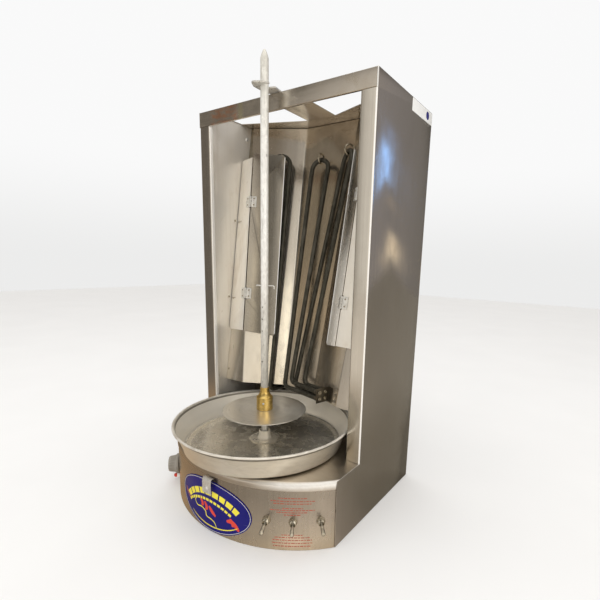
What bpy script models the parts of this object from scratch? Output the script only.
"""Vertical rotisserie broiler (countertop gyro / shawarma machine).

Frame: origin on the spit axis at the underside of the cabinet, +Z up,
-Y is the front (operator side), +X is the operator's right.
Every length below is in millimetres; MM turns it into metres. Angles are in degrees.
"""
import math
import bpy
import bmesh
from mathutils import Matrix, Vector

MM = 0.001
SIDES = ((-1, "left"), (1, "right"))

# ---------------------------------------------------------- shared dimensions
HALF = 457.2 / 2         # half of the overall width, 18 in
DEPTH_REAR = 285.0       # rear face behind the spit axis
COLUMN_FRONT = 29.0      # front face of the two columns
HEIGHT = 857.1           # underside to top plate
BASE_H = 136.9           # deck height
BASE_CORNER = -50.9      # where the bowed front meets the sides
BOW_SAG = 107.5          # how far the bow stands out in the middle
SHEET = 1.2              # cabinet sheet
GAP = 0.3                # clearance between touching sheets
LINER_X = 199.6          # inner face of the column liners
LIP_R = 8.0              # rolled front lip of the deck
BAR_H = 31.8             # height of the top front bar
REAR_COVER_T = 1.0

BOW_R = (HALF ** 2 + BOW_SAG ** 2) / (2 * BOW_SAG)
BOW_CY = BASE_CORNER - BOW_SAG + BOW_R
PANEL_R = BOW_R - SHEET - GAP            # outer face of the bowed front panel
INSIDE_X = HALF - SHEET - GAP            # clear half width between the side panels
INSIDE_REAR = DEPTH_REAR - SHEET - GAP   # clear depth in front of the rear flanges
DECK_UNDER = BASE_H - SHEET - GAP        # just below the deck sheet

# Fittings on the bowed front; angles run from the middle towards +X.
TOGGLE_ANGLES = (25.1, 34.85, 44.87)
TOGGLE_Z = 59.5
KNOB_ANGLE, KNOB_Z = -43.5, 45.0
CORD_X, CORD_Z = 150, 45

# ----------------------------------------------------------------- materials
# name: (base colour, metallic, roughness)
FINISH = {
    "stainless": ((0.56, 0.52, 0.47), 1.0, 0.34),
    "polished": ((0.70, 0.66, 0.60), 1.0, 0.18),
    "galvanised": ((0.62, 0.62, 0.60), 1.0, 0.45),
    "aluminium": ((0.74, 0.73, 0.70), 1.0, 0.38),
    "brass": ((0.72, 0.50, 0.17), 1.0, 0.24),
    "nickel": ((0.66, 0.62, 0.54), 1.0, 0.22),
    "sheath": ((0.045, 0.042, 0.030), 0.6, 0.45),
    "zinc": ((0.70, 0.72, 0.72), 1.0, 0.33),
    "cast": ((0.20, 0.21, 0.22), 0.5, 0.55),
    "grey_plastic": ((0.33, 0.31, 0.28), 0.0, 0.45),
    "black_plastic": ((0.03, 0.03, 0.03), 0.0, 0.50),
    "rubber": ((0.025, 0.025, 0.025), 0.0, 0.70),
    "badge": ((0.045, 0.045, 0.36), 0.0, 0.30),
}


def finish(name):
    """The material of that name, made on first use."""
    material = bpy.data.materials.get(name)
    if material is None:
        colour, metallic, roughness = FINISH[name]
        material = bpy.data.materials.new(name)
        material.use_nodes = True
        shader = material.node_tree.nodes["Principled BSDF"]
        shader.inputs["Base Color"].default_value = (*colour, 1.0)
        shader.inputs["Metallic"].default_value = metallic
        shader.inputs["Roughness"].default_value = roughness
    return material


# -------------------------------------------------------------- solid helpers
def put(name, shape, mat, origin=(0, 0, 0), smooth=None):
    """Turn a bmesh in world millimetres into an object; smooth is the sharp-edge angle."""
    bmesh.ops.remove_doubles(shape, verts=shape.verts, dist=1e-5)
    bmesh.ops.recalc_face_normals(shape, faces=shape.faces)
    origin = Vector(origin)
    for vert in shape.verts:
        vert.co = (vert.co - origin) * MM
    mesh = bpy.data.meshes.new(name)
    shape.to_mesh(mesh)
    shape.free()
    obj = bpy.data.objects.new(name, mesh)
    obj.location = origin * MM
    bpy.context.scene.collection.objects.link(obj)
    if mat:
        mesh.materials.append(finish(mat))
    if smooth:
        mesh.shade_smooth()
        mesh.set_sharp_from_angle(angle=math.radians(smooth))
    return obj


def loft(name, lower, upper, mat, origin=(0, 0, 0), smooth=None):
    """Closed solid between two rings with the same number of corners."""
    shape = bmesh.new()
    first = [shape.verts.new(p) for p in lower]
    last = [shape.verts.new(p) for p in upper]
    shape.faces.new(first[::-1])
    shape.faces.new(last)
    for i in range(len(first)):
        j = (i + 1) % len(first)
        shape.faces.new((first[i], first[j], last[j], last[i]))
    return put(name, shape, mat, origin, smooth)


def slab(name, corners, normal, thick, mat, origin=(0, 0, 0)):
    """A flat plate whose middle plane has the given corners."""
    half = normal * (thick / 2)
    return loft(name, [p - half for p in corners], [p + half for p in corners], mat, origin)


def extrude(name, outline, travel, mat, origin=(0, 0, 0), smooth=None):
    """A flat outline of 3-D points swept along a vector."""
    shape = bmesh.new()
    face = shape.faces.new([shape.verts.new(p) for p in outline])
    made = bmesh.ops.extrude_face_region(shape, geom=[face])
    moved = [g for g in made["geom"] if isinstance(g, bmesh.types.BMVert)]
    bmesh.ops.translate(shape, verts=moved, vec=travel)
    return put(name, shape, mat, origin, smooth)


def prism(name, outline, z0, z1, mat, origin=(0, 0, 0), smooth=None):
    """A plan outline raised from z0 to z1."""
    base = [(x, y, z0) for x, y in outline]
    return extrude(name, base, (0, 0, z1 - z0), mat, origin, smooth)


def box(name, low, high, mat=None, bevel=0.0, segments=2):
    """A box between two corners, with all its edges bevelled if asked."""
    shape = bmesh.new()
    size = [high[i] - low[i] for i in range(3)]
    middle = [(high[i] + low[i]) / 2 for i in range(3)]
    bmesh.ops.create_cube(shape, size=1.0,
                          matrix=Matrix.Translation(middle) @ Matrix.Diagonal((*size, 1)))
    if bevel:
        bmesh.ops.bevel(shape, geom=shape.edges[:], offset=bevel, segments=segments,
                        affect="EDGES", profile=0.5)
    return put(name, shape, mat, smooth=40 if bevel else None)


def offset_line(points, distance):
    """A plane polyline moved sideways, with mitred corners."""
    flat = [Vector(p).to_2d() for p in points]
    legs = [(q - p).normalized() for p, q in zip(flat, flat[1:])]
    moved = []
    for i, point in enumerate(flat):
        before = legs[max(i - 1, 0)]
        after = legs[min(i, len(legs) - 1)]
        both = before + after
        normal = Vector((-both.y, both.x)).normalized()
        normal /= normal.dot(Vector((-before.y, before.x)))
        moved.append(point + normal * distance)
    return moved


def strip(points, thick):
    """Closed ring of a sheet whose middle follows the points."""
    return offset_line(points, thick / 2) + offset_line(points, -thick / 2)[::-1]


def folded(name, points, thick, z0, z1, mat, smooth=None):
    """A folded sheet that stands upright."""
    return prism(name, strip(points, thick), z0, z1, mat, smooth=smooth)


def lathe(name, profile, segs, mat, origin=(0, 0, 0), closed=True, smooth=35, matrix=None):
    """A turned piece: (radius, height) points spun about the local Z axis.

    closed joins the last point to the first; an open profile starts and ends on the axis.
    """
    shape = bmesh.new()
    verts = [shape.verts.new((r, 0, z)) for r, z in profile]
    edges = [shape.edges.new(pair) for pair in zip(verts, verts[1:])]
    if closed:
        edges.append(shape.edges.new((verts[-1], verts[0])))
    bmesh.ops.spin(shape, geom=verts + edges, cent=(0, 0, 0), axis=(0, 0, 1), dvec=(0, 0, 0),
                   angle=2 * math.pi, steps=segs, use_merge=True)
    bmesh.ops.remove_doubles(shape, verts=shape.verts, dist=1e-4)
    if matrix is not None:
        bmesh.ops.transform(shape, matrix=matrix, verts=shape.verts)
    return put(name, shape, mat, origin, smooth)


def rod(name, start, end, radius, segs=20, mat=None):
    """A plain round bar between two points."""
    start = Vector(start)
    run = Vector(end) - start
    matrix = Matrix.Translation(start) @ run.to_track_quat("Z", "Y").to_matrix().to_4x4()
    return lathe(name, [(0, 0), (radius, 0), (radius, run.length), (0, run.length)], segs, mat,
                 closed=False, matrix=matrix)


def tube(name, path, radius, mat, sides=12):
    """A round bar or tube sheath along a path, as a bevelled curve with capped ends."""
    curve = bpy.data.curves.new(name, "CURVE")
    curve.dimensions = "3D"
    curve.resolution_u = curve.render_resolution_u = 1
    curve.bevel_depth = radius * MM
    curve.bevel_resolution = sides // 4 - 1
    curve.use_fill_caps = True
    curve.twist_mode = "MINIMUM"
    spline = curve.splines.new("POLY")
    spline.points.add(len(path) - 1)
    for knot, point in zip(spline.points, path):
        knot.co = (*(Vector(point) * MM), 1)
    spline.use_smooth = True
    source = bpy.data.objects.new(name + "_path", curve)
    bpy.context.scene.collection.objects.link(source)
    depsgraph = bpy.context.evaluated_depsgraph_get()
    mesh = bpy.data.meshes.new_from_object(source.evaluated_get(depsgraph))
    bpy.data.objects.remove(source, do_unlink=True)
    shape = bmesh.new()
    shape.from_mesh(mesh)
    bpy.data.meshes.remove(mesh)
    for vert in shape.verts:
        vert.co = vert.co / MM
    return put(name, shape, mat, smooth=50)


def boolean(obj, other, operation="DIFFERENCE"):
    """Cut or join a hidden helper body into obj with a live modifier."""
    other.hide_render = True
    other.display_type = "WIRE"
    modifier = obj.modifiers.new(operation.lower(), "BOOLEAN")
    modifier.operation = operation
    modifier.object = other
    modifier.solver = "EXACT"


# ----------------------------------------------------- points, paths, frames
def arc(cx, cy, radius, start, end, steps):
    """Points of a plane arc."""
    angles = [math.radians(start + (end - start) * i / steps) for i in range(steps + 1)]
    return [(cx + radius * math.cos(a), cy + radius * math.sin(a)) for a in angles]


def rounded(path, radius, steps=5):
    """A polyline of 3-D points whose inner corners are rounded to the given radius."""
    path = [Vector(p) for p in path]
    points = [path[0]]
    for previous, corner, following in zip(path, path[1:], path[2:]):
        back = (previous - corner).normalized()
        ahead = (following - corner).normalized()
        half = back.angle(ahead) / 2
        setback = radius / math.tan(half)
        centre = corner + (back + ahead).normalized() * (radius / math.sin(half))
        spoke0 = corner + back * setback - centre
        spoke1 = corner + ahead * setback - centre
        total = spoke0.angle(spoke1)
        for k in range(steps + 1):
            turn = total * k / steps
            spoke = spoke0 * math.sin(total - turn) + spoke1 * math.sin(turn)
            points.append(centre + spoke / math.sin(total))
    points.append(path[-1])
    return points


def frame_at(point, z_axis, x_hint):
    """Matrix whose Z runs along z_axis at a point, X as near x_hint as it can be."""
    z = Vector(z_axis).normalized()
    x = (Vector(x_hint) - z * Vector(x_hint).dot(z)).normalized()
    matrix = Matrix((x, z.cross(x), z)).transposed().to_4x4()
    matrix.translation = Vector(point)
    return matrix


def place(obj, frame):
    """Stand an object that was drawn at the origin in a frame given in millimetres."""
    obj.matrix_world = Matrix.LocRotScale(frame.translation * MM, frame.to_quaternion(), None)


def bow_point(angle, radius, z=0.0):
    """A point at a radius from the axis of the bowed front."""
    a = math.radians(angle)
    return Vector((radius * math.sin(a), BOW_CY - radius * math.cos(a), z))


def bow_arc(radius, half_width, steps, z=0.0):
    """Points along the bow, from x = -half_width to x = +half_width."""
    limit = math.degrees(math.asin(half_width / radius))
    return [bow_point(-limit + 2 * limit * i / steps, radius, z) for i in range(steps + 1)]


def bow_frame(angle, z):
    """Outward and sideways unit vectors on the front panel, and the frame with Z outward."""
    a = math.radians(angle)
    outward = Vector((math.sin(a), -math.cos(a), 0))
    sideways = Vector((math.cos(a), math.sin(a), 0))
    return outward, sideways, frame_at(bow_point(angle, PANEL_R, z), outward, sideways)


# ------------------------------------------------------------------- cabinet
def side_panel(side, tag):
    """One L-shaped sheet: tall column side, low base side, front and rear return flanges."""
    name = "side_panel_" + tag
    y_front = BASE_CORNER + GAP
    step_r = 6.0             # fillet where the column rises from the base
    step_z = BASE_H + 0.4
    fillet = arc(COLUMN_FRONT - step_r, step_z + step_r, step_r, -90, 0, 4)
    outline = [(DEPTH_REAR, 0), (DEPTH_REAR, HEIGHT), (COLUMN_FRONT, HEIGHT)]
    outline += fillet[::-1] + [(y_front, step_z), (y_front, 0)]
    panel = extrude(name, [(side * (HALF - SHEET), y, z) for y, z in outline],
                    (side * SHEET, 0, 0), "stainless")
    # inner edge, y range and z range of each flange
    flanges = (
        ("front", 197.0, COLUMN_FRONT + 1.0, COLUMN_FRONT + 1.0 + SHEET,
         BASE_H + 0.7, HEIGHT - BAR_H - GAP),
        ("rear", 212.0, DEPTH_REAR - SHEET, DEPTH_REAR - 0.1, 0.5, HEIGHT - 0.5),
    )
    for end, inner_x, y0, y1, z0, z1 in flanges:
        x0, x1 = sorted((side * inner_x, side * (HALF - 0.4)))
        flange = box("%s_%s_flange" % (name, end), (x0, y0, z0), (x1, y1, z1))
        boolean(panel, flange, "UNION")


def front_panel():
    """Bowed front: an arc of sheet with short return flanges inside the two sides."""
    flange = Vector((0, 16, 0))
    line = bow_arc(PANEL_R - SHEET / 2, INSIDE_X - SHEET / 2, 40)
    line = [line[0] + flange] + line + [line[-1] + flange]
    panel = folded("front_panel", line, SHEET, 0.0, BASE_H - LIP_R - 0.5, "stainless", smooth=30)
    # name, angle, height, radius and segments of each hole
    holes = [("toggle_hole_%d" % (i + 1), angle, TOGGLE_Z, 6.5, 24)
             for i, angle in enumerate(TOGGLE_ANGLES)]
    holes.append(("knob_hole", KNOB_ANGLE, KNOB_Z, 5.0, 20))
    for name, angle, z, radius, segs in holes:
        boolean(panel, rod(name, bow_point(angle, BOW_R - 12, z), bow_point(angle, BOW_R + 8, z),
                           radius, segs))


def base_deck():
    """Flat plate with a rolled front lip and a short skirt outside the bowed front."""
    skirt_z = 122.0
    lip_x, lip_z = BOW_R - LIP_R, BASE_H - LIP_R
    # (bow radius, z) around the lip, from the top sheet to the underside
    section = [(lip_x - 30, BASE_H)] + arc(lip_x, lip_z, LIP_R, 90, 0, 4)
    section += [(BOW_R, skirt_z), (BOW_R - SHEET, skirt_z)]
    section += arc(lip_x, lip_z, LIP_R - SHEET, 0, 90, 4) + [(lip_x - 30, BASE_H - SHEET)]
    shape = bmesh.new()
    rows = [bow_arc(radius, INSIDE_X, 40, z) for radius, z in section]
    rings = [[shape.verts.new(p) for p in ring] for ring in zip(*rows)]
    for ring, following in zip(rings, rings[1:]):
        for k in range(len(section) - 1):
            shape.faces.new((ring[k], ring[k + 1], following[k + 1], following[k]))
    shape.faces.new(rings[0])
    shape.faces.new(rings[-1][::-1])
    # The flat part behind the lip: top and underside share the lip's inner edge.
    top_edge = [ring[0] for ring in rings]
    low_edge = [ring[-1] for ring in rings]
    top_right, top_left, low_right, low_left = [
        shape.verts.new((x, INSIDE_REAR, z))
        for z in (BASE_H, BASE_H - SHEET) for x in (INSIDE_X, -INSIDE_X)]
    shape.faces.new(top_edge + [top_right, top_left])
    shape.faces.new(low_edge[::-1] + [low_left, low_right])
    shape.faces.new((top_right, top_left, low_left, low_right))
    shape.faces.new((top_edge[-1], low_edge[-1], low_right, top_right))
    shape.faces.new((top_edge[0], low_edge[0], low_left, top_left))
    deck = put("base_deck", shape, "stainless", smooth=35)
    boolean(deck, rod("deck_shaft_hole", (0, 0, BASE_H - 6), (0, 0, BASE_H + 6), 15.0, 32))


def base_floor():
    """Floor of the base, inside the front panel and the sides."""
    half_width = INSIDE_X - SHEET - 2 * GAP
    outline = [(p.x, p.y) for p in bow_arc(PANEL_R - SHEET - GAP, half_width, 36)]
    outline += [(half_width, INSIDE_REAR - GAP), (-half_width, INSIDE_REAR - GAP)]
    prism("base_floor", outline, 0.0, SHEET, "galvanised")


def rear_cover():
    """Cover on the outside of the sides' rear flanges, with a row of slots low down."""
    inner_y = DEPTH_REAR + GAP
    cover = box("rear_cover", (-HALF + 2, inner_y, 1.0),
                (HALF - 2, inner_y + REAR_COVER_T, HEIGHT - 1.5), "stainless")
    for i in range(7):
        x = -60 + 20 * i
        boolean(cover, box("rear_slot_%d" % (i + 1), (x - 3, DEPTH_REAR - 3, 40),
                           (x + 3, DEPTH_REAR + 5, 95)))
    boolean(cover, rod("cord_hole", (CORD_X, DEPTH_REAR - 4, CORD_Z),
                       (CORD_X, DEPTH_REAR + 6, CORD_Z), 10.3, 28))


KEEPER_PIVOT_Y = 46.0    # screw of the skewer keeper


def top_frame():
    """One sheet with its front edge turned down as the bar, two openings, a centre brace."""
    brace_half = 38.0
    opening_front, opening_x = COLUMN_FRONT + 3.5, LINER_X - 1.5
    frame = box("top_frame", (-INSIDE_X, COLUMN_FRONT, HEIGHT - SHEET),
                (INSIDE_X, INSIDE_REAR, HEIGHT), "stainless")
    boolean(frame, box("top_bar", (-INSIDE_X, COLUMN_FRONT, HEIGHT - BAR_H),
                       (INSIDE_X, COLUMN_FRONT + SHEET, HEIGHT - 0.4)), "UNION")
    boolean(frame, box("top_rear_turn", (-INSIDE_X + 3, INSIDE_REAR - SHEET, HEIGHT - 22),
                       (INSIDE_X - 3, INSIDE_REAR - 0.1, HEIGHT - 0.4)), "UNION")
    for side, tag in SIDES:
        outline = [(side * brace_half, opening_front), (side * opening_x, opening_front),
                   (side * opening_x, 130.6), (side * brace_half, 188.0)]
        boolean(frame, prism("top_opening_" + tag, outline, HEIGHT - 8, HEIGHT + 8, None))
    boolean(frame, rod("keeper_screw_hole", (0, KEEPER_PIVOT_Y, HEIGHT - 6),
                       (0, KEEPER_PIVOT_Y, HEIGHT + 6), 3.0, 20))


def column_liner(side, tag):
    """Inner wall of a column, tucked behind its front flange."""
    rear_y = 172.0
    x = side * (LINER_X + SHEET / 2)
    y = COLUMN_FRONT + 1.0 + SHEET + GAP + SHEET / 2
    line = [(side * (HALF - SHEET - 1.5), y), (x, y), (x, rear_y),
            (side * (LINER_X + 14), rear_y)]
    folded("column_liner_" + tag, line, SHEET, BASE_H + GAP, HEIGHT - SHEET - GAP, "stainless")


# ----------------------------------------------------------------- reflector
REF_T = 1.0              # reflector sheet
REF_Z0, REF_Z1 = 226.0, 855.0


def reflector_line(z):
    """Plan of the leaning, folded reflector at a height: middle of the sheet, left to right.

    Every facet is flat, so its plan direction is the same at every height.
    """
    rise = (z - REF_Z0) / (REF_Z1 - REF_Z0)

    def mix(low, high):
        return low + (high - low) * rise

    side_slope, wall_slope = -0.545, -0.04
    inner_x, inner_y = mix(45, 75), mix(122, 230)
    outer_x, edge_x = mix(141, 193), 199.0
    outer_y = inner_y + side_slope * (outer_x - inner_x)
    edge_y = outer_y + wall_slope * (edge_x - outer_x)
    half = [(inner_x, inner_y), (outer_x, outer_y), (edge_x, edge_y)]
    return [(-x, y) for x, y in half[::-1]] + half


def reflector():
    lower, upper = [[(p.x, p.y, z) for p in strip(reflector_line(z), REF_T)]
                    for z in (REF_Z0, REF_Z1)]
    loft("reflector", lower, upper, "polished")


def reflector_gap(point):
    """Least square distance in plan from a point in front to the middle of any facet."""
    line = [Vector(p) for p in reflector_line(point.z)]
    gaps = []
    for start, end in zip(line, line[1:]):
        run = end - start
        normal = Vector((-run.y, run.x)).normalized()
        gaps.append(normal.dot(start - point.to_2d()))
    return min(gaps)


# ---------------------------------------------------------- wings and hinges
FLAP_W = 77.0
FLAP_Z0, FLAP_Z1 = 352.0, 785.0
FLAP_T = 1.0
FLAP_ANGLE = {-1: 35.0, 1: 43.5}       # how far each wing is folded back
STRIP_Z0, STRIP_Z1 = 361.0, 775.0      # fixed strip beside the wing
STRIP_X = 197.6                        # its outer edge
STRIP_T = 1.0
HINGE_Z = {"lower": 452.0, "upper": 671.0}
HINGE_LOW = (136.0, 68.0, 361.0)       # two points of the right hinge line
HINGE_HIGH = (149.6, 109.0, 666.0)
KNUCKLE_R = 2.6
PIN_R = 1.25
LEAF_W, LEAF_HALF_H, LEAF_T = 13.0, 13.0, 1.0
# Stretches along the hinge line, from the middle of the hinge.
KNUCKLES = {
    "fixed": ((-13.0, -8.2), (-2.4, 2.4), (8.2, 13.0)),
    "moving": ((-7.9, -2.7), (2.7, 7.9)),
}
# Notches clear the other leaf's knuckles.
NOTCHES = {
    "fixed": tuple((low - GAP, high + GAP) for low, high in KNUCKLES["moving"]),
    "moving": ((-13.5, -8.2 + GAP), (-2.4 - GAP, 2.4 + GAP), (8.2 - GAP, 13.5)),
}


def hinge_axis(side):
    """A point of the hinge line and its upward direction."""
    low, high = [Vector((side * x, y, z)) for x, y, z in (HINGE_LOW, HINGE_HIGH)]
    return low, (high - low).normalized()


def on_axis(side, z):
    low, axis = hinge_axis(side)
    return low + axis * ((z - low.z) / axis.z)


def wing_directions(side):
    """Unit vectors of a wing: across it (away from the hinge) and its normal (to the front)."""
    axis = hinge_axis(side)[1]
    flat = Vector((-side, 0, 0))
    inward = (flat - axis * flat.dot(axis)).normalized()
    rearward = axis.cross(inward) * -side
    a = math.radians(FLAP_ANGLE[side])
    across = inward * math.cos(a) + rearward * math.sin(a)
    return across, inward * math.sin(a) - rearward * math.cos(a)


def strip_directions(side):
    """Unit vectors of the fixed strip: out from the hinge line and its normal (to the front)."""
    axis = hinge_axis(side)[1]
    outward = Vector((side * STRIP_X, 80.0, STRIP_Z0)) - on_axis(side, STRIP_Z0)
    outward = (outward - axis * outward.dot(axis)).normalized()
    return outward, outward.cross(axis) * side


def flap(side, tag):
    """Wing: parallel hinge and free edges, small cut corners on the free edge."""
    axis = hinge_axis(side)[1]
    across, normal = wing_directions(side)
    foot_rise = 9            # origin of the wing above its lowest edge
    foot = on_axis(side, FLAP_Z0 + foot_rise)
    length = (FLAP_Z1 - FLAP_Z0 - foot_rise) / axis.z
    drop = foot_rise / axis.z
    near, cut = KNUCKLE_R + 1.0, 4
    # (across, along the hinge line) from the foot
    outline = [(near, -drop * 0.15), (FLAP_W - cut, -drop), (FLAP_W, -drop + cut),
               (FLAP_W, length - cut), (FLAP_W - cut, length), (near, length)]
    corners = [foot + across * u + axis * v for u, v in outline]
    slab("flap_" + tag, corners, normal, FLAP_T, "polished", foot)


def flap_strip(side, tag):
    """Fixed strip between the hinge line and the column liner."""
    outward, normal = strip_directions(side)
    edges = []
    for z in (STRIP_Z0, STRIP_Z1):
        start = on_axis(side, z)
        reach = (side * STRIP_X - start.x) / outward.x
        edges.append([start + outward * (KNUCKLE_R + 1.0), start + outward * reach])
    slab("flap_strip_" + tag, edges[0] + edges[1][::-1], normal, STRIP_T, "stainless")


def hinge_leaf(name, kind, base, axis, across, normal):
    """One leaf of a butt hinge with its knuckles, bored for the pin."""
    lift = STRIP_T / 2 + GAP + LEAF_T / 2      # leaf middle in front of its sheet's middle
    near = KNUCKLE_R * 0.2
    outline = [(near, -LEAF_HALF_H), (LEAF_W, -LEAF_HALF_H), (LEAF_W, LEAF_HALF_H),
               (near, LEAF_HALF_H)]
    corners = [base + normal * lift + across * u + axis * v for u, v in outline]
    leaf = slab(name, corners, normal, LEAF_T, "galvanised", base)
    for i, (low, high) in enumerate(NOTCHES[kind]):
        notch = box(name + "_notch_%d" % i, (-6, -6, low), (KNUCKLE_R + 0.9, 6, high))
        place(notch, frame_at(base, axis, across))
        boolean(leaf, notch)
    for i, (low, high) in enumerate(KNUCKLES[kind]):
        knuckle = rod(name + "_knuckle_%d" % i, base + axis * low, base + axis * high,
                      KNUCKLE_R, 16)
        boolean(leaf, knuckle, "UNION")
    boolean(leaf, rod(name + "_bore", base - axis * 20, base + axis * 20, PIN_R + 0.08, 14))


def hinges(side, tag):
    """Two butt hinges: three knuckles on the strip's leaf around two of the wing's leaf."""
    axis = hinge_axis(side)[1]
    for level, z in HINGE_Z.items():
        name = "hinge_%s_%s" % (tag, level)
        base = on_axis(side, z)
        hinge_leaf(name + "_leaf_fixed", "fixed", base, axis, *strip_directions(side))
        hinge_leaf(name + "_leaf_moving", "moving", base, axis, *wing_directions(side))
        rod(name + "_pin", base - axis * 13.6, base + axis * 13.6, PIN_R, 14, "galvanised")


# ---------------------------------------------------------- heating elements
TUBE_R = 5.3             # heating element sheath
# Pairs are (left leg, right leg). upper and lower are points on the middle line of each leg,
# top_z is where the hairpin bend starts, low_z the level at which each cold end turns off
# and ends its (x, y) there.
# hanger: ring radius, wire radius, ring middle above the bend's apex, and behind it.
ELEMENTS = {
    "left": dict(
        upper=((-116.0, 152.0, 727.0), (-85.3, 176.7, 727.0)),
        lower=((-92.0, 93.2, 263.0), (-73.7, 103.4, 261.0)),
        top_z=762.0, low_z=(213.0, 213.0), ends=((-96.0, 216.0), (-62.0, 216.0)),
        hanger=(7.5, 1.3, 0.3, 0.8)),
    "centre": dict(
        upper=((-22.0, 182.5, 727.0), (23.0, 182.0, 724.0)),
        lower=((-15.0, 91.0, 271.0), (4.6, 91.0, 274.7)),
        top_z=744.0, low_z=(238.0, 252.5), ends=((101.1, 62.0), (101.1, 62.0)),
        hanger=(11.2, 2.1, 2.6, 0.0)),
    "right": dict(
        upper=((51.2, 197.0, 724.0), (86.7, 169.7, 716.4)),
        lower=((4.5, 109.5, 270.5), (37.6, 100.0, 278.7)),
        top_z=757.0, low_z=(238.0, 252.5), ends=((105.0, 77.0), (105.0, 77.0)),
        hanger=(11.2, 2.1, 2.6, 0.0)),
}


def along(start, end, z):
    """The point at height z on the line through two points."""
    start, end = Vector(start), Vector(end)
    return start + (end - start) * ((z - start.z) / (end.z - start.z))


def heating_element(key, spec):
    """Hairpin tube; returns the apex of its bend, the direction across and the lean."""
    tops = [along(low, up, spec["top_z"]) for low, up in zip(spec["lower"], spec["upper"])]
    span = tops[1] - tops[0]
    radius = span.length / 2
    centre = (tops[0] + tops[1]) / 2
    across = span.normalized()
    lean = (tops[0] - Vector(spec["lower"][0])) + (tops[1] - Vector(spec["lower"][1]))
    lean.normalize()
    lean = (lean - across * lean.dot(across)).normalized()
    bend = [centre - across * (radius * math.cos(math.radians(a)))
            + lean * (radius * math.sin(math.radians(a))) for a in range(0, 181, 18)]
    legs = []
    for top, foot, low_z, end in zip(tops, spec["lower"], spec["low_z"], spec["ends"]):
        legs.append(rounded([top, along(foot, top, low_z), Vector((*end, low_z))], 13.0))
    tube("heating_element_" + key, legs[0][::-1] + bend[1:-1] + legs[1], TUBE_R, "sheath")
    return centre + lean * radius, across, lean


def element_hanger(key, spec, apex, across, lean):
    """Eye hanger: an open ring round the top of the hairpin, on a stem to the reflector."""
    ring_r, wire_r, rise, setback = spec["hanger"]
    back = Vector((0, 1, 0)) - across * across.y
    back = (back - lean * back.dot(lean)).normalized()
    middle = apex + lean * rise + back * setback
    angles = [math.radians(a - 110) for a in range(0, 301, 20)]
    ring = [middle - back * (ring_r * math.cos(a)) + lean * (ring_r * math.sin(a))
            for a in angles]
    hanger = tube("element_hanger_" + key, ring, wire_r, "zinc")
    # Step back until the stem is just short of the reflector.
    reach = 0.0
    while reflector_gap(middle + back * reach) > REF_T / 2 + 0.5:
        reach += 0.1
    # A stem is added only where the ring does not already reach the sheet.
    if reach > ring_r + wire_r + 0.5:
        stem = rod("hanger_stem_" + key, middle + back * ring_r, middle + back * reach,
                   wire_r * 0.95, 14)
        boolean(hanger, stem, "UNION")


def terminal_bracket():
    """Bracket at the foot of the right reflector panel, at the cold ends of two elements."""
    thick = 1.2
    outward = Vector((0.967, -0.253, 0))         # across the plate at the cold ends
    sideways = Vector((0.253, 0.967, 0))         # along that plate
    ends = [Vector((*ELEMENTS[key]["ends"][0], 0)) for key in ("centre", "right")]
    ends_mid = (ends[0] + ends[1]) / 2 + outward * (GAP + 1.0)
    rings = []
    for z in (228.5, 261.5):
        line = reflector_line(z)
        start, end = Vector((*line[3], 0)), Vector((*line[4], 0))
        facet = (end - start).normalized()
        normal = Vector((facet.y, -facet.x, 0))  # to the front of the reflector
        start = start + normal * (REF_T / 2 + thick / 2 + 0.6)
        # Where the plate's line meets the flange's line.
        run = (start - ends_mid).dot(normal) / sideways.dot(normal)
        corner = ends_mid + sideways * run
        plan = [ends_mid - sideways * 15.0, corner, corner + facet * 18.0]
        rings.append([(p.x, p.y, z) for p in strip(plan, thick)])
    loft("terminal_bracket", rings[0], rings[1], "galvanised")


# ------------------------------------------------------------------ drip pan
PAN_RIM_R, PAN_RIM_Z = 193.4, 191.8
PAN_FLOOR_R, PAN_FLOOR_Z = 173.3, 138.6


def drip_pan():
    """Flared pan with a beaded rim and a hub round the shaft."""
    wall = 1.6
    hub_z = PAN_FLOOR_Z + 22.0
    rim_x, rim_z = PAN_RIM_R - 5.2, PAN_RIM_Z - 4.0
    profile = [(10.0, PAN_FLOOR_Z), (PAN_FLOOR_R - 3.0, PAN_FLOOR_Z),
               (PAN_FLOOR_R, PAN_FLOOR_Z + 2.2), (rim_x, rim_z)]
    # rolled bead of the rim
    profile += [(PAN_RIM_R - 2.6 + 2.6 * math.cos(math.radians(a)),
                 PAN_RIM_Z - 2.8 + 2.8 * math.sin(math.radians(a))) for a in (-60, 0, 60, 120)]
    profile += [(rim_x - wall - 0.6, rim_z), (PAN_FLOOR_R - wall, PAN_FLOOR_Z + 3.4),
                (PAN_FLOOR_R - 4.6, PAN_FLOOR_Z + wall), (15.0, PAN_FLOOR_Z + wall),
                (12.8, PAN_FLOOR_Z + 4.5), (12.4, hub_z), (10.0, hub_z)]
    lathe("drip_pan", profile, 64, "aluminium", origin=(0, 0, PAN_FLOOR_Z), smooth=40)


# ---------------------------------------------------------------- spit drive
DISC_R, DISC_Z = 91.6, 209.6
SHAFT_R = 7.0
DISC_BORE_R = 5.95       # on the shaft's reduced end
SKEWER_R = 7.95
SKEWER_TIP = 922.3
SKEWER_FOOT = 222.0
SOCKET_Z = 221.6         # floor of the coupling's socket


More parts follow.
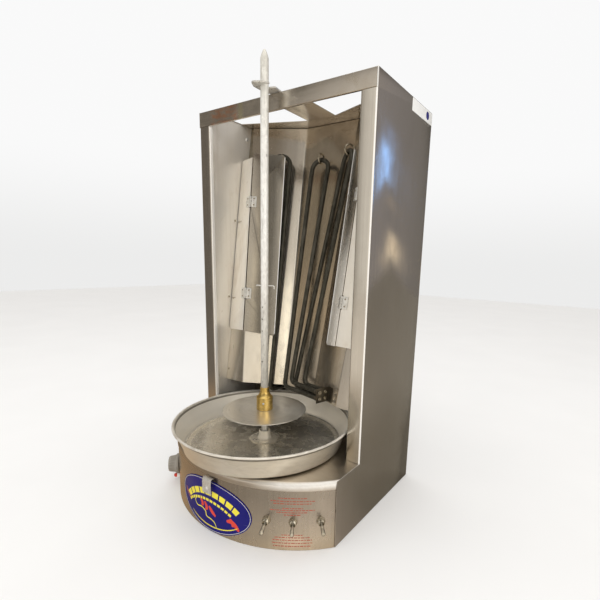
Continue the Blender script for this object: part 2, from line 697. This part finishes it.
def spit_drive():
    # Flanged sleeve in the deck; its flange carries the pan's hub.
    lathe("deck_bushing", [
        (7.08, BASE_H - 16), (14.6, BASE_H - 16), (14.6, BASE_H + GAP), (26.0, BASE_H + GAP),
        (26.0, BASE_H + 1.4), (9.2, BASE_H + 1.4), (7.08, BASE_H + 0.2)], 28, "brass")
    # From the gearbox up through bushing and pan hub to the disc.
    lathe("drive_shaft", [
        (0, 66.0), (5.2, 66.0), (6.0, 66.8), (6.0, 96.0), (SHAFT_R, 97.0), (SHAFT_R, 207.4),
        (5.6, 207.4), (5.6, 219.6), (0, 219.6)], 24, "zinc", closed=False)
    # Thin plate round the shaft's reduced end.
    lathe("meat_disc", [
        (DISC_BORE_R, DISC_Z - 1.8), (DISC_R - 1.0, DISC_Z - 1.8), (DISC_R, DISC_Z - 0.9),
        (DISC_R - 0.6, DISC_Z), (DISC_BORE_R, DISC_Z)], 56, "aluminium", smooth=40)
    # Sits on the disc; its socket holds the skewer's foot.
    lathe("skewer_coupling", [
        (DISC_BORE_R, DISC_Z + GAP), (17.2, DISC_Z + GAP), (17.8, DISC_Z + 0.9),
        (17.8, DISC_Z + 29.0), (16.6, DISC_Z + 31.5), (10.4, DISC_Z + 40.0),
        (9.9, DISC_Z + 41.6), (9.9, DISC_Z + 50.0), (9.4, DISC_Z + 50.6),
        (8.03, DISC_Z + 50.6), (8.03, SOCKET_Z), (DISC_BORE_R, SOCKET_Z - 1.4)], 28, "brass")


def skewer():
    """Round bar with a pointed tip, a row of cross holes low down and a bent pin."""
    bar = lathe("skewer", [
        (0, SKEWER_FOOT), (SKEWER_R - 0.8, SKEWER_FOOT), (SKEWER_R, SKEWER_FOOT + 0.8),
        (SKEWER_R, SKEWER_TIP - 17.0), (SKEWER_R - 0.9, SKEWER_TIP - 13.0),
        (2.6, SKEWER_TIP - 2.2), (1.4, SKEWER_TIP - 0.4), (0, SKEWER_TIP)],
        28, "zinc", closed=False)
    for i, z in enumerate((318.0, 385.0, 410.5, 436.0)):
        boolean(bar, rod("skewer_hole_%d" % (i + 1), (0, -12, z), (0, 12, z), 2.2, 14))
    pin_dir = Vector((0.833, 0.553, 0))
    pin_mid = Vector((0, 0, 481.0))
    boolean(bar, rod("skewer_hole_5", pin_mid - pin_dir * 12, pin_mid + pin_dir * 12, 1.6, 14))
    bend = pin_mid + pin_dir * 20
    path = rounded([pin_mid - pin_dir * 17, bend, bend - Vector((0, 0, 7))], 3.0, 3)
    tube("skewer_pin", path, 1.25, "zinc", 8)


def skewer_keeper():
    """Flat hook on the top frame that steadies the skewer and swings clear, and its screw."""
    under = HEIGHT + GAP
    top = under + 3.0
    throat_r = 8.7

    def about_pivot(radius, angle):
        """Point on a circle round the screw, angle from straight ahead towards +X."""
        a = math.radians(angle)
        return (radius * math.sin(a), KEEPER_PIVOT_Y - radius * math.cos(a))

    outline = [about_pivot(KEEPER_PIVOT_Y + throat_r, a) for a in (21, 14, 7)]
    outline += arc(0, 0, throat_r, -90, -270, 12)
    outline += [about_pivot(KEEPER_PIVOT_Y - throat_r, a) for a in (9, 18, 26)]
    outline += [(14.5, 22.0)] + arc(0, KEEPER_PIVOT_Y, 12.0, -25, 205, 12)
    outline += [(-16.5, 20.0), (-18.0, 4.0), (-17.5, -12.0), (-9.0, -26.0), (-3.0, -27.5),
                (14.0, -19.0)]
    keeper = prism("skewer_keeper", outline, under, top, "zinc",
                   origin=(0, KEEPER_PIVOT_Y, under), smooth=30)
    boolean(keeper, rod("keeper_bore", (0, KEEPER_PIVOT_Y, under - 5),
                        (0, KEEPER_PIVOT_Y, under + 8), 2.8, 20))
    lathe("keeper_screw", [
        (0, HEIGHT - 6.0), (2.7, HEIGHT - 6.0), (2.7, top + GAP), (6.6, top + GAP),
        (6.6, under + 5.2), (5.2, under + 6.6), (0, under + 7.0)], 24, "zinc", closed=False,
        matrix=Matrix.Translation((0, KEEPER_PIVOT_Y, 0)))


def gearmotor():
    """Under the deck: gearbox on a bracket, motor can below it."""
    thick = 2.0
    bracket_low = DECK_UNDER - 15.5
    high, low = DECK_UNDER - thick / 2, bracket_low + thick / 2
    section = [(-74, high), (-46, high), (-46, low), (46, low), (46, high), (74, high)]
    ring = strip(section, thick)
    bracket = loft("motor_bracket", [(p.x, -30, p.y) for p in ring],
                   [(p.x, 40, p.y) for p in ring], "galvanised")
    boolean(bracket, rod("bracket_hole", (0, 0, 100), (0, 0, 140), 17.0, 28))
    gear_top = bracket_low - GAP
    gearbox = box("gearbox_housing", (-42, -30, 62.0), (42, 48, gear_top), "cast", bevel=5.0)
    boolean(gearbox, rod("gearbox_bore", (0, 0, 65.0), (0, 0, gear_top + 6), 8.0, 24))
    lathe("motor_housing", [
        (0, 12.0), (24.0, 12.0), (30.0, 16.0), (30.0, 56.0), (28.0, 61.7), (0, 61.7)],
        36, "cast", closed=False, matrix=Matrix.Translation((6, 12, 0)))


# ---------------------------------------------------- fittings on the front
def toggle(name, angle):
    """Toggle switch: body, hexagon nut and bat lever."""
    outward, sideways, frame = bow_frame(angle, TOGGLE_Z)
    # Bushing through the panel, square body behind it.
    body = lathe(name + "_body", [
        (0, -4.5), (5.9, -4.5), (5.9, 9.0), (5.2, 9.8), (4.4, 9.8), (4.4, 3.0), (0, 3.0)],
        24, "nickel", closed=False, matrix=frame)
    case = box(name + "_case", (-8.5, -14.0, -30.0), (8.5, 14.0, -SHEET - 1.0),
               bevel=1.0, segments=1)
    place(case, frame)
    boolean(body, case, "UNION")
    hexagon = arc(0, 0, 8.6, 0, 300, 5)
    lower, upper = [[frame @ Vector((x, y, z)) for x, y in hexagon] for z in (0.35, 3.6)]
    nut = loft(name + "_nut", lower, upper, "nickel")
    boolean(nut, rod(name + "_nut_bore", frame @ Vector((0, 0, -4)), frame @ Vector((0, 0, 9)),
                     6.2, 24))
    # The lever pivots inside the bushing, resting tipped down.
    pivot = frame @ Vector((0, 0, 6.6))
    tilt = math.radians(13.0)
    lever_dir = outward * math.cos(tilt) + Vector((0, 0, -1)) * math.sin(tilt)
    lathe(name + "_lever", [
        (0, -2.6), (1.9, -2.0), (2.6, 0.0), (2.1, 2.0), (2.0, 5.0), (2.9, 18.0), (3.3, 22.6),
        (2.7, 25.0), (1.3, 26.3), (0, 26.6)], 16, "nickel", closed=False,
        matrix=frame_at(pivot, lever_dir, sideways), origin=pivot)


def side_knob():
    """Control behind the front panel and its knob, left of the middle."""
    frame = bow_frame(KNOB_ANGLE, KNOB_Z)[2]
    lathe("control_body", [
        (0, -26.0), (15.0, -26.0), (15.0, -SHEET - 1.0), (4.6, -SHEET - 1.0), (4.6, 2.0),
        (0, 2.0)], 24, "black_plastic", closed=False, matrix=frame)
    lathe("control_knob", [
        (0, 2.4), (21.0, 2.4), (23.0, 3.4), (23.0, 9.0), (20.6, 13.0), (19.2, 22.0),
        (17.0, 25.6), (12.0, 27.0), (0, 27.4)], 32, "grey_plastic", closed=False,
        matrix=frame, origin=frame.translation)


def badge_plate():
    """Oval plate bent round the bowed front."""
    middle_z, half_w, half_h = 56.0, 101.0, 55.0
    inner_r = PANEL_R + GAP
    outer_r = inner_r + 0.8
    steps = 24               # columns across the oval
    # (x, half height) of the columns, left to right
    angles = [math.pi * i / steps for i in range(steps, -1, -1)]
    columns = [(half_w * math.cos(a), half_h * math.sin(a)) for a in angles]
    outline = [(x, middle_z - h) for x, h in columns]
    outline += [(x, middle_z + h) for x, h in columns[-2:0:-1]]
    shape = bmesh.new()
    layers = [[shape.verts.new(bow_point(math.degrees(x / outer_r), radius, z))
               for x, z in outline] for radius in (inner_r, outer_r)]
    for layer in layers:
        low = layer[:steps + 1]
        high = [low[0]] + layer[steps + 1:][::-1] + [low[-1]]
        for i in range(steps):
            # The end columns are single points, so their faces are triangles.
            corners = dict.fromkeys((low[i], low[i + 1], high[i + 1], high[i]))
            shape.faces.new(list(corners))
    inner, outer = layers
    for i in range(len(outline)):
        j = (i + 1) % len(outline)
        shape.faces.new((inner[i], inner[j], outer[j], outer[i]))
    put("badge_plate", shape, "badge", smooth=30)


def front_clip():
    """Bent strip hanging down in front of the deck's skirt."""
    middle = 1.0             # degrees round the bow
    half = math.degrees(11.5 / BOW_R)
    # (distance outside the bow, z)
    bends = [(GAP + 0.5, 118.5), (3.0, 119.6), (6.4, 118.2), (8.4, 114.6), (8.8, 110.0),
             (8.8, 88.0)]
    ring = strip([(BOW_R + out, z) for out, z in bends], 1.0)
    left, right = [[bow_point(angle, p.x, p.y) for p in ring]
                   for angle in (middle - half, middle + half)]
    loft("front_clip", left, right, "galvanised", smooth=40)


# ---------------------------------------------------------------- power cord
def power_cord():
    """Grip in the rear cover and a cord that drops behind it and turns towards +X."""
    face_y = DEPTH_REAR + GAP + REAR_COVER_T
    lathe("cord_grip", [
        (4.3, -9.0), (9.9, -9.0), (9.9, GAP), (13.5, GAP), (13.5, 6.0), (8.6, 12.0),
        (6.6, 20.0), (4.3, 20.0)], 24, "black_plastic",
        matrix=frame_at((CORD_X, face_y, CORD_Z), (0, 1, 0), (1, 0, 0)))
    low_z = 4.4
    path = [(CORD_X, face_y - 26, CORD_Z), (CORD_X, face_y + 42, CORD_Z),
            (158, face_y + 44, low_z), (205, face_y + 30, low_z)]
    tube("power_cord", rounded(path, 18.0, 6), 4.0, "rubber")


# --------------------------------------------------------------------- build
for old in list(bpy.data.objects):
    bpy.data.objects.remove(old, do_unlink=True)

front_panel()
base_deck()
base_floor()
rear_cover()
top_frame()
reflector()
for side, tag in SIDES:
    side_panel(side, tag)
    column_liner(side, tag)
    flap(side, tag)
    flap_strip(side, tag)
    hinges(side, tag)
for key, spec in ELEMENTS.items():
    element_hanger(key, spec, *heating_element(key, spec))
terminal_bracket()
drip_pan()
spit_drive()
skewer()
skewer_keeper()
gearmotor()
for i, angle in enumerate(TOGGLE_ANGLES):
    toggle("toggle_%d" % (i + 1), angle)
side_knob()
badge_plate()
front_clip()
power_cord()
